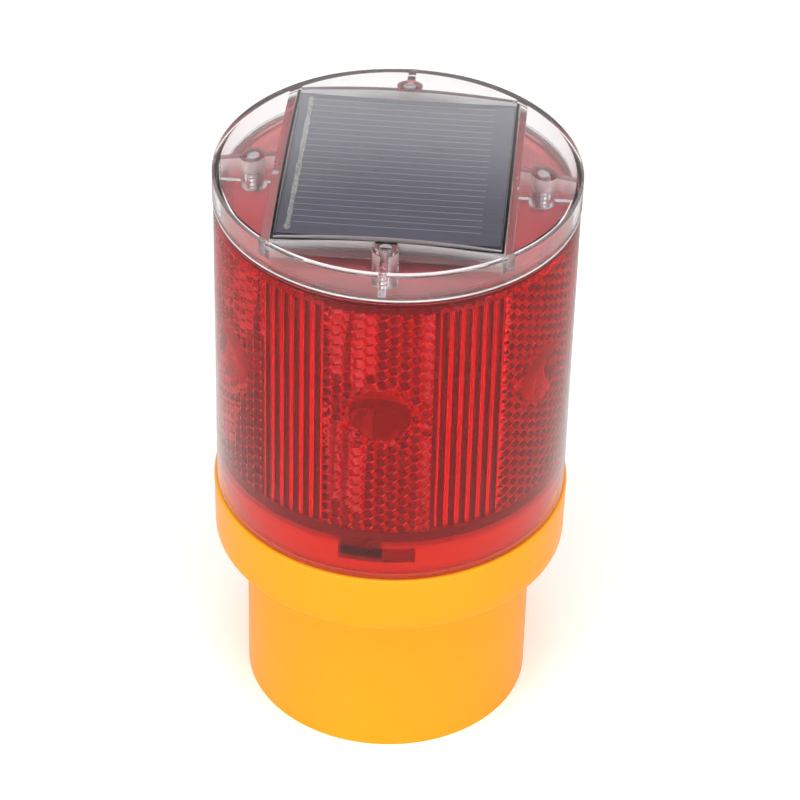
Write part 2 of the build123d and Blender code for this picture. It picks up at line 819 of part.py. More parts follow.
# A leaf bows out from the foot of the negative contact and presses on the battery.
with BuildPart() as negative_spring:
    contact_plate(-1)
    leaf_plane = Plane(
        origin=(
            battery_start_x - snug_play - spring_leaf_radius,
            battery_offset + spring_leaf_width / 2,
            contact_middle_z,
        ),
        x_dir=(1, 0, 0),
        z_dir=(0, -1, 0),
    )
    with BuildSketch(leaf_plane):
        leaf_middle = (spring_free_angle - spring_root_angle) / 2
        leaf_sweep = spring_free_angle + spring_root_angle
        leaf_inner = spring_leaf_radius - contact_thickness
        ring_sector(leaf_inner, spring_leaf_radius, leaf_middle, leaf_sweep)
    extrude(amount=spring_leaf_width)
finish(negative_spring, "negative_spring", STEEL)

# ---------------------------------------------------------------- switch and button
with BuildPart() as switch_body:
    with BuildSketch(Plane.XY.offset(switch_low_z)):
        Rectangle(switch_size, switch_size)
        Circle(button_stem_dia / 2 + button_stem_play, mode=Mode.SUBTRACT)
    extrude(amount=switch_height - switch_roof)
    with BuildSketch(Plane.XY.offset(switch_high_z - switch_roof)):
        Rectangle(switch_size, switch_size)
    extrude(amount=switch_roof)
    with BuildSketch(Plane.XY.offset(switch_high_z)):
        with GridLocations(2 * switch_lead_x, 1, 2, 1):
            Rectangle(switch_pin, switch_pin)
    extrude(amount=switch_pin_length)
finish(switch_body, "switch_body", NAVY)

with BuildPart() as power_button:
    with BuildSketch(Plane.XY.offset(button_low_z)):
        Circle(button_radius)
    extrude(amount=button_cap_z - button_low_z)
    fillet(power_button.faces().sort_by(Axis.Z)[0].edges(), button_edge_radius)
    with BuildSketch(Plane.XY.offset(button_cap_z)):
        Circle(button_stem_dia / 2)
    extrude(amount=switch_high_z - switch_roof - button_travel - edge_gap - button_cap_z)
finish(power_button, "power_button", BLACK)

# ---------------------------------------------------------------- leads
# Each pair of leads is routed by hand: upright at both ends, with round bends between.
solar_route = [
    (solar_lead_x, 0, cell_board_low_z),
    (solar_lead_x, 0, board_top_z + 26),
    (solar_lead_x + 1, 10, board_top_z + 11),
    (solar_lead_x + 1, 10, board_top_z),
]
battery_route = [
    (battery_lead_x, battery_offset, contact_middle_z + contact_thickness / 2),
    (battery_lead_x, battery_offset, tray_top_z + 9),
    (18, 8, tray_top_z + 17),
    (18, 8, board_low_z),
]


def lead(route, side):
    """Add one insulated lead along a route, mirrored in X for the other side."""
    points = [(side * x, y, z) for x, y, z in route]
    with BuildLine() as path:
        FilletPolyline(*points, radius=lead_bend_radius)
    with BuildSketch(Plane(origin=path.line @ 0, z_dir=path.line % 0)) as section:
        Circle(lead_dia / 2)
    sweep(section.sketch, path=path.line)


with BuildPart() as solar_lead_red:
    lead(solar_route, 1)
finish(solar_lead_red, "solar_lead_red", RED)

with BuildPart() as solar_lead_black:
    lead(solar_route, -1)
finish(solar_lead_black, "solar_lead_black", BLACK)

with BuildPart() as battery_lead_red:
    lead(battery_route, 1)
finish(battery_lead_red, "battery_lead_red", RED)

with BuildPart() as battery_lead_black:
    lead(battery_route, -1)
finish(battery_lead_black, "battery_lead_black", BLACK)

# The switch's two leads run straight up through the pedestal to the LED board.
with BuildPart() as switch_leads:
    with BuildSketch(Plane.XY.offset(switch_high_z + switch_pin_length)):
        with GridLocations(2 * switch_lead_x, 1, 2, 1):
            Circle(lead_dia / 2)
    extrude(amount=board_low_z - switch_high_z - switch_pin_length)
finish(switch_leads, "switch_leads", WHITE)
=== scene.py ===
"""Looks of a solar barricade warning light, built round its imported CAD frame.

The row frame is in metres, +Z up along the lamp's axis, with the front bullseye towards -Y.
Azimuths are counted counter-clockwise from +X, so the front is at -90 degrees.
"""

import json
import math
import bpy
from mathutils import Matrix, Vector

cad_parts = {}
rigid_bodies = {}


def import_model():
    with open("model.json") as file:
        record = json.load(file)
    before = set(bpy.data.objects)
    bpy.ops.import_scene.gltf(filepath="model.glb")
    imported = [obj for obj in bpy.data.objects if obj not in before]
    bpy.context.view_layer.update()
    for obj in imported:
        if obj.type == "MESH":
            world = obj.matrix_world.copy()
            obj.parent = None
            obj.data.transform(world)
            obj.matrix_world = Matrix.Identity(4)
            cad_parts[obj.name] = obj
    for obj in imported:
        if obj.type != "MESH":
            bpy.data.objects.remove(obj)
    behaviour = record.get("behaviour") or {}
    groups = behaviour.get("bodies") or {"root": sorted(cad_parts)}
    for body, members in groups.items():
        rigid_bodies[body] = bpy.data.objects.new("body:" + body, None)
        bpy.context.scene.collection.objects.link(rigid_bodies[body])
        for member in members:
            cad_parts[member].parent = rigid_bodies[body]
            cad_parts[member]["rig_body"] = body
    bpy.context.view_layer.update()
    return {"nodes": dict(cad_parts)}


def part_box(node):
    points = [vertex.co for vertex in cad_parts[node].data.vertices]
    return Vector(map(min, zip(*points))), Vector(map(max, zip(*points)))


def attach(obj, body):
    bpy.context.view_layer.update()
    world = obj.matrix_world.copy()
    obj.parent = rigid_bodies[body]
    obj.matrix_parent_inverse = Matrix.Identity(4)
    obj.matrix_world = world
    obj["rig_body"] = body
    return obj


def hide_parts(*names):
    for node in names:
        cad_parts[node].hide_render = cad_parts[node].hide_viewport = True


bl_info = {
    "name": "Barricade Warning Light",
    "version": (1, 0, 0),
    "blender": (4, 5, 0),
    "location": "3D View > Sidebar > Lamp",
    "description": "Builds the prismatic lens, solar top and finishes of a warning light",
    "category": "Add Mesh",
}

from functools import partialmethod

import bmesh
import bpy
import numpy as np
from bpy.props import FloatProperty, FloatVectorProperty, IntProperty, PointerProperty
from bpy.types import Operator, Panel, PropertyGroup
from mathutils import Matrix, Vector

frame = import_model()

MM = 0.001
FRONT = math.radians(-90)

LENS_LOW, LENS_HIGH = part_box("lens_shell")
COVER_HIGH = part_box("clear_cover")[1]
RIBBON_LOW, RIBBON_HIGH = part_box("cell_ribbon")
CELL_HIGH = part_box("solar_cell")[1]
LED_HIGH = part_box("leds")[1]
LENS_RADIUS = LENS_HIGH.x
LED_FLANGE_RADIUS = 2.9 * MM
BULLSEYE_Z = LED_HIGH.z - LED_FLANGE_RADIUS
# A gap too small to see. It keeps surfaces apart, and is the radius of a closed end.
SLACK = 0.02 * MM

# How much haze the clear mouldings have, from 0 to 1.
# The entry for the cubes' ridges is not haze but a painted highlight.
LENS_HAZE = {"inside": 0.22, "window": 0.12, "plate": 0.8, "painted_glint": 0.8, "lug": 0.45}
COVER_HAZE = {"top": 0.66, "root": 0.03, "end wall": 0.06, "rim": 0.06, "foot": 0.43, "skirt": 0.07}

# Plain inner finishes: linear colour, roughness, grain in millimetres, and what wears them.
INNER_PLASTICS = {
    "black_epoxy": ((0.02, 0.02, 0.02), 0.5, 0.2, "driver_ic"),
    "ferrite": ((0.05, 0.05, 0.05), 0.6, 0.3, "inductor"),
    "blue_sleeve": ((0.02, 0.03, 0.12), 0.3, 0.6, "capacitor"),
    "tan_ceramic": ((0.6, 0.45, 0.27), 0.4, 0.3, "resistors"),
    "switch_nylon": ((0.04, 0.06, 0.2), 0.45, 0.3, "switch_body"),
    "red_sleeve": ((0.5, 0.02, 0.02), 0.4, 0.3, "solar_lead_red", "battery_lead_red"),
    "black_sleeve": ((0.02, 0.02, 0.02), 0.4, 0.3, "solar_lead_black", "battery_lead_black"),
    "white_sleeve": ((0.75, 0.75, 0.72), 0.4, 0.3, "switch_leads"),
}

# Where a Mix node has its colour sockets.
MIX_FACTOR, MIX_FIRST, MIX_SECOND, MIX_RESULT = 0, 6, 7, 2

# Soft lights: watts, and place in metres.
LIGHTS = {
    "key": (3.8, (-0.7, -0.8, 0.4)),
    "fill": (3.2, (0.8, -0.7, 0.35)),
    "top": (7.0, (0, -0.4, 1.2)),
}
# Metres, then the floor's own glow, then how often light may bounce.
LIGHT_SIZE, FLOOR_REACH = 0.6, 4.0
FLOOR_GLOW = 0.2
LIGHT_BOUNCES, CLEAR_BOUNCES = 24, 16


# --- sizes and colours
def distance(name, description, millimetres):
    """A length property that shows in the scene's own units."""
    return FloatProperty(
        name=name,
        description=description,
        default=millimetres * MM,
        min=0.0,
        precision=5,
        subtype="DISTANCE",
    )


def angle(name, description, degrees):
    """An angle property, stored in radians."""
    radians = math.radians(degrees)
    return FloatProperty(name=name, description=description, default=radians, subtype="ANGLE")


def colour(name, description, red, green, blue):
    """A colour property, with linear values."""
    return FloatVectorProperty(
        name=name,
        description=description,
        default=(red, green, blue),
        size=3,
        min=0.0,
        max=1.0,
        subtype="COLOR",
    )


def number(name, description, default, least=0.0):
    """A plain number with a least value."""
    return FloatProperty(name=name, description=description, default=default, min=least)


def count(name, description, default, least=1):
    """A whole number with a least value."""
    return IntProperty(name=name, description=description, default=default, min=least)


class LensSizes(PropertyGroup):
    """Sizes of the red lens and of the flange that it stands on"""

    wall: distance("Wall", "Thickness of the lens wall", 2.4)
    top_recess: distance("Top recess", "Depth of the top plate under the rim", 0.8)
    top_thickness: distance("Top thickness", "Thickness of the top plate", 2.2)
    plate_matt: distance("Matt plate", "Radius where the plate's matt grain starts to thin", 31.0)
    plate_clear: distance("Clear plate", "Radius where the plate's grain is thinnest", 38.0)
    lead_hole: distance("Lead hole", "Radius of the hole for the solar leads", 4.5)
    rebate: distance("Rebate", "Radius inside the foot, round the base seal", 41.0)
    rebate_height: distance("Rebate height", "Height of the foot's rebate", 1.4)
    groove_inner: distance("Groove inside", "Inner radius of the seal groove", 40.75)
    groove_width: distance("Groove width", "Width of the seal groove", 1.0)
    groove_depth: distance("Groove depth", "Depth of the seal groove", 0.7)
    pattern_low: distance("Pattern start", "Pattern's height over the lens foot", 13.7)
    pattern_margin: distance("Pattern margin", "Plain wall between pattern and plate", 2.0)
    windows: count("Windows", "Reflector windows round the lens", 6, 3)
    window_angle: angle("Window angle", "Width of one reflector window", 34.0)
    cube_columns: count("Cube columns", "Half cube sides across one window", 28, 4)
    cube_row: distance("Cube row", "Height of one row of cube corners", 1.3818)
    cube_depth: distance("Cube depth", "Depth of the cube corners", 2.37)
    web: distance("Web", "Solid wall outside the deepest cube corners", 1.1)
    bullseye_radius: distance("Bullseye radius", "Radius of the round lens", 7.0)
    bullseye_bulge: distance("Bullseye bulge", "Rise of the round lens", 1.5)
    bullseye_relief: distance("Bullseye relief", "Height of the round lens's rim", 0.6)
    reeds: count("Reeds", "Upright half-round reeds in one panel", 6)
    reed_pitch: angle("Reed pitch", "Angle from one reed to the next", 3.8)
    lug_count: count("Lugs", "Bayonet lugs inside the foot", 3)
    lug_angle: angle("Lug angle", "Width of one lug", 10.4)
    lug_offset: angle("Lug offset", "Lug's middle, counted from the front", 7.2)
    lug_low: distance("Lug start", "Lug's height over the seam", 4.5)
    lug_height: distance("Lug height", "Height of one lug", 3.9)
    lug_depth: distance("Lug depth", "How far a lug stands inwards", 1.9)
    edge: distance("Edge", "Radius of the small rounds on the rims", 0.3)
    flange_edge: distance("Flange edge", "Radius of the round on the base's upper rim", 0.6)


class TopSizes(PropertyGroup):
    """Sizes of the clear cover, the solar panel and the screws"""

    dome: distance("Dome", "Rise of the cover's dome", 4.0)
    dome_roof: distance("Dome roof", "Inner side's depth under the dome's crown", 1.75)
    dome_curve: distance("Dome curve", "Twice the inner side's radius of curvature", 418)
    frame_x: distance("Frame half width", "Just outside the panel frame's side walls", 28.0)
    frame_y: distance("Frame half depth", "Middle of the panel frame's end walls", 30.5)
    frame_wall: distance("Frame wall", "Half the reach of the end walls' own finish", 1.0)
    frost_depth: distance("Frost depth", "How far under the dome the frost fades out", 4.9)
    frost_cut: distance("Frost cut", "How much sooner it fades on the end walls", 2.5)
    skirt: distance("Skirt", "Thickness of the skirt, whose inside isn't frosted", 1.8)
    skirt_face: distance("Skirt face", "Depth of what counts as the skirt's outside", 0.4)
    skirt_lip: distance("Skirt lip", "How far the foot's lip stands out", 0.1)
    foot_height: distance("Foot height", "Height of the skirt's dull foot", 0.5)
    rim_height: distance("Rim height", "Height of the rim's dull edge", 0.55)
    finger_pitch: distance("Finger pitch", "Distance between the cell's fingers", 2.4)
    finger_front: distance("Finger front", "Front finger's distance from the middle", 23.1)
    finger_width: distance("Finger width", "Width of one printed finger", 0.22)
    finger_start: distance("Finger start", "How far in under the ribbon a finger starts", 1.0)
    finger_end: distance("Finger end", "Bare strip at the fingers' far ends", 4.6)
    ribbon_wave: distance("Ribbon wave", "Unevenness of the ribbon's edges", 0.38)
    solder_width: distance("Solder width", "Extra half width of the solder at both ends", 0.1)
    solder_height: distance("Solder height", "Extra height of the solder at both ends", 0.12)
    screw_radius: distance("Screw radius", "Radius over the cover screws' threads", 1.4)
    screw_pitch: distance("Screw pitch", "Rise of one turn of the thread", 1.1)
    thread_depth: distance("Thread depth", "Depth of the thread", 0.32)
    head_radius: distance("Head radius", "Radius of a screw's head", 2.7)
    head_height: distance("Head height", "Height of a screw's head", 1.8)
    recess_reach: distance("Recess reach", "Reach of the cross recess", 1.5)
    recess_width: distance("Recess width", "Width of one arm of the recess", 0.7)
    recess_depth: distance("Recess depth", "Depth of the recess", 1.0)


class FinishColours(PropertyGroup):
    """Linear colours of the finishes that are seen"""

    yellow: colour("Base yellow", "Moulded base", 1.0, 0.35, 0.0)
    red: colour("Lens stain", "What the clear red moulding lets through", 0.97, 0.0, 0.08)
    red_density: number("Stain strength", "How fast the stain takes light, per metre", 560.0)
    glow: colour("Lens glow", "What the flutes and windows throw back", 1.0, 0.02, 0.02)
    grain: colour("Plate grain", "Grain of the sunken top plate", 1.0, 0.2, 0.22)
    # Painted highlight: the pale tint of the dashes along the cubes' ridges.
    painted_glint: colour("Glints", "Lit ridges of the cubes", 1.0, 0.85, 0.8)
    lug: colour("Lugs", "Dull red of the lugs", 1.0, 0.16, 0.05)
    clear: colour("Cover", "Water-clear cover", 0.97, 0.97, 0.98)
    # The frost is real. Its pink is painted red light from the red lens beneath.
    frost_with_painted_red_light: colour("Blush", "Frost over the red lens", 1.0, 0.8, 0.8)
    frost: colour("Frost", "Frost on the end walls and the foot", 1.0, 0.97, 0.97)
    cell: colour("Cell", "Coated silicon", 0.022, 0.019, 0.055)
    finger: colour("Fingers", "Printed silver fingers", 0.4, 0.4, 0.48)
    ribbon: colour("Ribbon", "Tinned ribbon and solder", 0.72, 0.72, 0.70)
    dark: colour("Inner frame", "Dark inner moulding", 0.03, 0.03, 0.034)
    board: colour("LED board", "Solder mask", 0.02, 0.13, 0.05)


class StageSettings(PropertyGroup):
    """Camera, room and floor"""

    lens: number("Focal length", "Camera's focal length in millimetres", 150.8, 10.0)
    reach: distance("Camera reach", "Level distance from the lamp's axis", 637.7)
    height: distance("Camera height", "Height of the camera over the floor", 572.3)
    around: angle("Camera turn", "Camera's turn round the lamp from the front", 4.0)
    pitch: angle("Camera pitch", "How far the camera looks down", 37.643)
    yaw: angle("Camera yaw", "How far the camera looks to the right", 0.166)
    roll: angle("Camera roll", "Camera's roll", 1.536)
    low: number("Low light", "Strength of the room up to the backdrop's top", 1.1)
    high: number("High light", "Strength of the room overhead", 0.35)
    low_angle: angle("Backdrop top", "Where the backdrop starts to fade", 30)
    high_angle: angle("Backdrop fade", "Where the backdrop has faded", 44)
    floor: colour("Floor", "Pale floor where the camera sees it", 0.97, 0.96, 0.93)
    sheen: colour("Floor sheen", "Floor as the lamp mirrors it", 0.42, 0.4, 0.38)


# --- shader maths
class Signal:
    """One output of a shader tree. Arithmetic on it adds Math nodes."""

    def __init__(self, finish, socket):
        self.finish = finish
        self.socket = socket

    def math(self, operation, *others):
        return self.finish.math(operation, self, *others)

    def __rsub__(self, other):
        return self.finish.math("SUBTRACT", other, self)

    __add__ = partialmethod(math, "ADD")
    __sub__ = partialmethod(math, "SUBTRACT")
    __mul__ = partialmethod(math, "MULTIPLY")
    __truediv__ = partialmethod(math, "DIVIDE")
    __gt__ = partialmethod(math, "GREATER_THAN")
    __lt__ = partialmethod(math, "LESS_THAN")
    __abs__ = partialmethod(math, "ABSOLUTE")


class Finish:
    """A material whose Principled shader takes fixed values, and signals where it varies."""

    def __init__(self, name, **fixed):
        self.material = bpy.data.materials.new(name)
        self.material.use_nodes = True
        self.tree = self.material.node_tree
        self.shader = self.tree.nodes["Principled BSDF"]
        self.fill(self.shader, fixed)
        self.point = Signal(self, self.node("ShaderNodeTexCoord").outputs["Object"])

    def feed(self, node, socket, value):
        """Set one input to a number or colour, or link it to a signal."""
        target = node.inputs[socket]
        if isinstance(value, Signal):
            self.tree.links.new(value.socket, target)
        elif target.type == "RGBA":
            target.default_value = (*value[:3], 1.0)
        else:
            target.default_value = value

    def fill(self, node, values):
        """Set or link sockets, whose names have underscores for blanks."""
        for socket, value in values.items():
            self.feed(node, socket.replace("_", " "), value)

    def node(self, kind, settings=(), inputs=()):
        """Add any node: its settings first, then the values or signals of its sockets."""
        made = self.tree.nodes.new(kind)
        for name, value in dict(settings).items():
            setattr(made, name, value)
        for socket, value in dict(inputs).items():
            self.feed(made, socket, value)
        return made

    def out(self, kind, settings=(), inputs=(), output=0):
        """Add a node and take one of its outputs."""
        return Signal(self, self.node(kind, settings, inputs).outputs[output])

    def math(self, operation, *values):
        return self.out("ShaderNodeMath", {"operation": operation}, enumerate(values))

    def axes(self):
        """The object's X, Y and Z at the shaded point, in metres."""
        parts = self.node("ShaderNodeSeparateXYZ", (), {0: self.point})
        return [Signal(self, output) for output in parts.outputs]

    def noise(self, size, detail=2.0, roughness=0.5):
        """Soft noise from 0 to 1 whose blotches are about one size across."""
        inputs = {"Vector": self.point, "Scale": 1 / size, "Detail": detail}
        inputs["Roughness"] = roughness
        return self.out("ShaderNodeTexNoise", (), inputs)

    def ramp(self, value, low, high, start=0.0, end=1.0):
        """Carry a signal from the range low..high to start..end, held at both ends."""
        inputs = dict(enumerate((value, low, high, start, end)))
        return self.out("ShaderNodeMapRange", {"clamp": True}, inputs)

    def mix(self, factor, first, second):
        """Blend two colours by a factor, through the Mix node's colour sockets."""
        inputs = {MIX_FACTOR: factor, MIX_FIRST: first, MIX_SECOND: second}
        return self.out("ShaderNodeMix", {"data_type": "RGBA"}, inputs, MIX_RESULT)

    def bump(self, height, distance_mm, strength=1.0):
        """Bend the shading by a height signal whose full step is a distance."""
        inputs = {"Height": height, "Distance": distance_mm * MM, "Strength": strength}
        self.feed(self.shader, "Normal", self.out("ShaderNodeBump", (), inputs))

    def absorb(self, tint, density):
        """Fill the inside with a clear stain that takes light by depth."""
        inputs = {"Color": tint, "Density": density}
        stain = self.node("ShaderNodeVolumeAbsorption", (), inputs)
        self.tree.links.new(stain.outputs[0], self.tree.nodes["Material Output"].inputs["Volume"])

    def haze(self, factor, **values):
        """Mix a second Principled surface over the first by a signal."""
        second = self.node("ShaderNodeBsdfPrincipled")
        self.fill(second, values)
        both = self.node("ShaderNodeMixShader", (), {0: factor})
        self.tree.links.new(self.shader.outputs[0], both.inputs[1])
        self.tree.links.new(second.outputs[0], both.inputs[2])
        self.tree.links.new(both.outputs[0], self.tree.nodes["Material Output"].inputs["Surface"])

    def set(self, **signals):
        """Feed the shader's varying sockets."""
        self.fill(self.shader, signals)
        return self.material


# --- finishes
def shade(tint, factor):
    """A colour made darker or lighter, up to white."""
    return tuple(min(1.0, factor * channel) for channel in tint)


def moulded_yellow(colours):
    """Satin moulded plastic: a faint orange peel, and light that soaks a little way in."""
    finish = Finish(
        "moulded_yellow",
        IOR=1.4,
        Subsurface_Weight=0.15,
        Subsurface_Radius=(1.0, 0.5, 0.1),
        Subsurface_Scale=2.5 * MM,
        Sheen_Weight=0.3,
        Sheen_Roughness=0.3,
    )
    cloud = finish.noise(26 * MM)
    fine = finish.noise(0.5 * MM, 3.0)
    deep = tuple(channel * share for channel, share in zip(colours.yellow, (0.97, 0.93, 0.8)))
    finish.bump(fine, 0.012)
    return finish.set(
        Base_Color=finish.mix(cloud, colours.yellow, deep),
        Roughness=finish.ramp(fine, 0.3, 0.7, 0.3, 0.4),
    )


def clear_red(colours, sizes):
    """Red stained clear moulding.

    The flutes and windows inside throw back a soft red, one in three of the cubes' slanting
    ridges carry a painted highlight of short pale dashes, the lugs are dull, and the sunken top
    plate has a fine sparked grain.
    """
    finish = Finish(
        "clear_red",
        IOR=1.5,
        Transmission_Weight=1.0,
        Base_Color=(1, 0.97, 0.97),
        Sheen_Weight=0.55,
        Sheen_Roughness=0.3,
    )
    finish.absorb(colours.red, colours.red_density)
    x, y, height = finish.axes()
    reach = (x * x + y * y).math("SQRT")
    plate_z = LENS_HIGH.z - sizes.top_recess
    plate = 1 - finish.ramp(abs(height - plate_z), 0.05 * MM, 0.1 * MM)
    matt = plate * finish.ramp(reach, sizes.plate_matt, sizes.plate_clear, 1, 0.45)
    inside = reach < LENS_RADIUS - sizes.web * 0.8
    under = plate_z - sizes.top_thickness - 0.01 * MM
    lug_high = LENS_LOW.z + sizes.lug_low + sizes.lug_height
    inner = inside * (height > lug_high) * (height < under)
    low, high = LENS_LOW.z + sizes.pattern_low, under - sizes.pattern_margin
    pattern = inner * (height > low) * (height < high)
    step = 2 * math.pi / sizes.windows
    turn = ((y.math("ARCTAN2", x) - FRONT) / step + 0.5).math("FRACT") - 0.5
    window = pattern * (abs(turn) < sizes.window_angle / step / 2)
    u = turn * (step * sizes.cube_columns / sizes.window_angle)
    v = (height - BULLSEYE_Z) / sizes.cube_row
    # Painted highlight: pale slanting dashes along one in three of the cubes' ridges.
    painted_glint = window * painted_glint_ridges(u, v)
    grain = finish.noise(0.55 * MM, 3.0, 0.6)
    tint = finish.mix(plate, colours.glow, colours.grain)
    tint = finish.mix(painted_glint, tint, colours.painted_glint)
    lug = (reach < LENS_RADIUS - sizes.wall - 0.05 * MM) * (height < lug_high)
    tint = finish.mix(lug, tint, colours.lug)
    soft = inner * LENS_HAZE["inside"] + window * LENS_HAZE["window"]
    soft = soft + matt * LENS_HAZE["plate"] + painted_glint * LENS_HAZE["painted_glint"] + lug * LENS_HAZE["lug"]
    finish.haze(soft, Base_Color=tint, Roughness=0.4)
    finish.bump(grain * matt, 0.12)
    return finish.set(Roughness=finish.ramp(matt, 0, 1, 0.01, 0.22))


def painted_glint_ridges(u, v, half_width=0.08, plain_rings=6):
    """Painted highlights: one in three of the cube lattice's slanting edges, away from the round
    lens.

    u counts half cube sides round the lens and v counts rows up from the round lens.
    """
    skew = (u - v) / 2
    column = (skew + 0.5).math("FLOOR")
    kind = (column - v.math("FLOOR")).math("FLOORED_MODULO", 3)
    far = abs(v).math("MAXIMUM", (abs(u) + abs(v)) / 2) > plain_rings
    return (abs(skew - column) < half_width) * (kind > 1.5) * far


def water_clear(colours, sizes):
    """Water-clear moulding. Its inner walls and bosses are frosted, most of all at their roots.

    What lies under the dome's inner side, whose height falls with the square of the radius,
    counts as inner. The frame's end walls clear again soonest. The skirt's outside is faintly
    dull, the rim's edge a little more, and the skirt's foot most.
    """
    finish = Finish("water_clear", IOR=1.49, Transmission_Weight=1.0, Base_Color=colours.clear)
    x, y, height = finish.axes()
    square = x * x + y * y
    depth = COVER_HIGH.z - sizes.dome_roof - square / sizes.dome_curve - height
    inner = (depth > 0) * (square < (LENS_RADIUS - sizes.skirt) ** 2)
    skirt = square > (LENS_RADIUS - sizes.skirt_face) ** 2
    rim = skirt * (height > COVER_HIGH.z - sizes.dome - sizes.rim_height)
    lip = square > (LENS_RADIUS + sizes.skirt_lip) ** 2
    foot = lip * (height < LENS_HIGH.z + sizes.foot_height)
    wall = (abs(x) < sizes.frame_x) * (abs(abs(y) - sizes.frame_y) < sizes.frame_wall)
    flow = finish.noise(9 * MM, 1.0)
    finish.bump(flow, 0.03)
    fade = depth / (sizes.frost_depth - wall * sizes.frost_cut)
    frost = inner * finish.ramp(fade, 0, 1, COVER_HAZE["top"], COVER_HAZE["root"])
    frost = frost + wall * inner * COVER_HAZE["end wall"] + rim * COVER_HAZE["rim"]
    frost = frost + foot * COVER_HAZE["foot"] + skirt * COVER_HAZE["skirt"]
    # The frost is white on the end walls and the foot. Elsewhere it is pink, which is painted red
    # light from the lens beneath.
    tint = finish.mix(wall + foot, colours.frost_with_painted_red_light, colours.frost)
    finish.haze(frost, Base_Color=tint, Roughness=0.5)
    return finish.set(Roughness=finish.ramp(inner, 0, 1, 0.0, 0.2))


def silicon(colours, sizes):
    """Coated silicon under clear film: faint level saw marks, and printed silver fingers."""
    finish = Finish("silicon", IOR=1.5, Coat_Roughness=0.04, Coat_Weight=1.0)
    x, y, z = finish.axes()
    turn = ((y + sizes.finger_front) / sizes.finger_pitch + 0.5).math("FRACT")
    line = abs(turn - 0.5) * sizes.finger_pitch
    fine = 1 - finish.ramp(line, sizes.finger_width * 0.35, sizes.finger_width * 0.65)
    start = (x > RIBBON_LOW.x + sizes.finger_start) * (y + sizes.finger_front > -sizes.finger_start)
    end = x < CELL_HIGH.x - sizes.finger_end
    finger = fine * start * end
    cloud = finish.noise(14 * MM, 3.0)
    drawn_out = finish.out("ShaderNodeCombineXYZ", (), {"X": x * 0.08, "Y": y, "Z": z})
    saw = {"Vector": drawn_out, "Scale": 1 / (0.7 * MM), "Detail": 3.0}
    streak = finish.out("ShaderNodeTexNoise", (), saw)
    base = finish.mix(cloud, colours.cell, shade(colours.cell, 1.6))
    base = finish.mix(finish.ramp(streak, 0.5, 0.7), base, shade(colours.cell, 2.4))
    return finish.set(
        Base_Color=finish.mix(finger * 0.9, base, colours.finger),
        Roughness=finish.ramp(finger, 0, 1, 0.3, 0.45),
        Metallic=finger * 0.2,
    )


def metal(name, tint, roughness, scratch_mm, dullest=0.8):
    """Bright plated metal with fine rubbed streaks."""
    finish = Finish(name, Metallic=1.0)
    rub = finish.noise(scratch_mm * MM, 4.0, 0.7)
    finish.bump(rub, 0.01)
    return finish.set(
        Base_Color=finish.mix(finish.ramp(rub, 0.4, 0.65), tint, shade(tint, dullest)),
        Roughness=finish.ramp(rub, 0.3, 0.7, roughness * 0.8, roughness * 1.3),
    )


def plastic(name, tint, roughness, grain_mm, depth_mm=0.02, **fixed):
    """Plain moulded or coated surface with a fine grain and a slight cloudiness."""
    finish = Finish(name, IOR=1.5, **fixed)
    grain = finish.noise(grain_mm * MM, 3.0)
    cloud = finish.noise(grain_mm * 12 * MM)
    finish.bump(grain, depth_mm)
    return finish.set(
        Base_Color=finish.mix(cloud, tint, shade(tint, 0.85)),
        Roughness=finish.ramp(grain, 0.3, 0.7, roughness * 0.9, roughness * 1.1),
    )


def solder_mask(colours, pitch_x=3.1 * MM, pitch_y=4.3 * MM):
    """Green board with slightly raised tracks in a square weave."""
    finish = Finish("solder_mask", IOR=1.5)
    x, y, _ = finish.axes()
    across = abs((x / pitch_x).math("FRACT") - 0.5) < 0.12
    along = abs((y / pitch_y).math("FRACT") - 0.5) < 0.1
    track = across.math("MAXIMUM", along)
    finish.bump(track, 0.03)
    return finish.set(
        Base_Color=finish.mix(track * 0.6, colours.board, shade(colours.board, 1.8)),
        Roughness=finish.ramp(finish.noise(1 * MM), 0.3, 0.7, 0.3, 0.4),
    )


# --- mesh helpers
def new_piece(name, points, faces, material, body, smooth=None, sharp=35):
    """A finished piece from an array of points and a list of faces, in place in the row frame."""
    mesh = bpy.data.meshes.new(name)
    mesh.from_pydata(points, [], faces)
    mesh.polygons.foreach_set("use_smooth", np.ones(len(faces), bool) if smooth is None else smooth)
    mesh.set_sharp_from_angle(angle=math.radians(sharp))
    mesh.materials.append(material)
    mesh.validate()
    piece = bpy.data.objects.new(name, mesh)
    bpy.context.scene.collection.objects.link(piece)
    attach(piece, body)
    return piece


def merged_copy(node, name, material, sharp=25):
    """A CAD node's own shape with its points joined, so that its curves shade smoothly."""
    mesh = frame["nodes"][node].data.copy()
    mesh.name = name
    made = bmesh.new()
    made.from_mesh(mesh)
    bmesh.ops.remove_doubles(made, verts=made.verts, dist=1e-6)
    made.to_mesh(mesh)
    made.free()
    if "custom_normal" in mesh.attributes:
        mesh.attributes.remove(mesh.attributes["custom_normal"])
    mesh.polygons.foreach_set("use_smooth", np.ones(len(mesh.polygons), bool))
    mesh.set_sharp_from_angle(angle=math.radians(sharp))
    mesh.materials.clear()
    mesh.materials.append(material)
    piece = bpy.data.objects.new(name, mesh)
    bpy.context.scene.collection.objects.link(piece)
    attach(piece, frame["nodes"][node]["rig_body"])
    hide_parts(node)
    return piece


